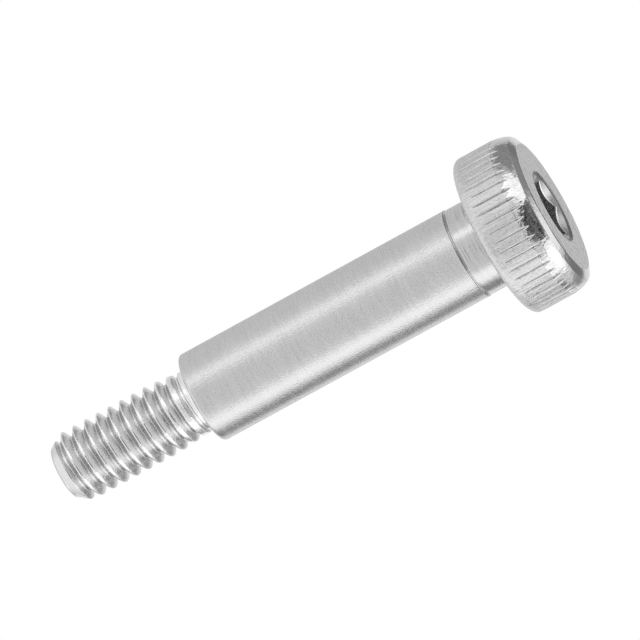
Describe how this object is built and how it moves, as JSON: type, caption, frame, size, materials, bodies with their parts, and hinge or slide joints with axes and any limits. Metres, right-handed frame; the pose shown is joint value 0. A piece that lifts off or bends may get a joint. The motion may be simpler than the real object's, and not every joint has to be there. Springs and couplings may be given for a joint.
{
  "type": "shoulder bolt",
  "caption": "Socket head shoulder bolt: knurled cylindrical head with a hex socket, ground cylindrical shoulder and a shorter threaded end of smaller diameter.",
  "frame": {"origin": "centre of the flat end of the head, which the bolt stands on", "axes": "+Z along the axis of the bolt, from the head to the free end of the thread; the -Y side of the head lies midway between two knurl grooves"},
  "size_m": [0.0088, 0.0088, 0.0291],
  "materials": {
    "steel": "ground shoulder, polished head edge, rolled thread"
  },
  "bodies": {
    "root": {"shoulder_bolt": "steel"}
  },
  "joints": []
}
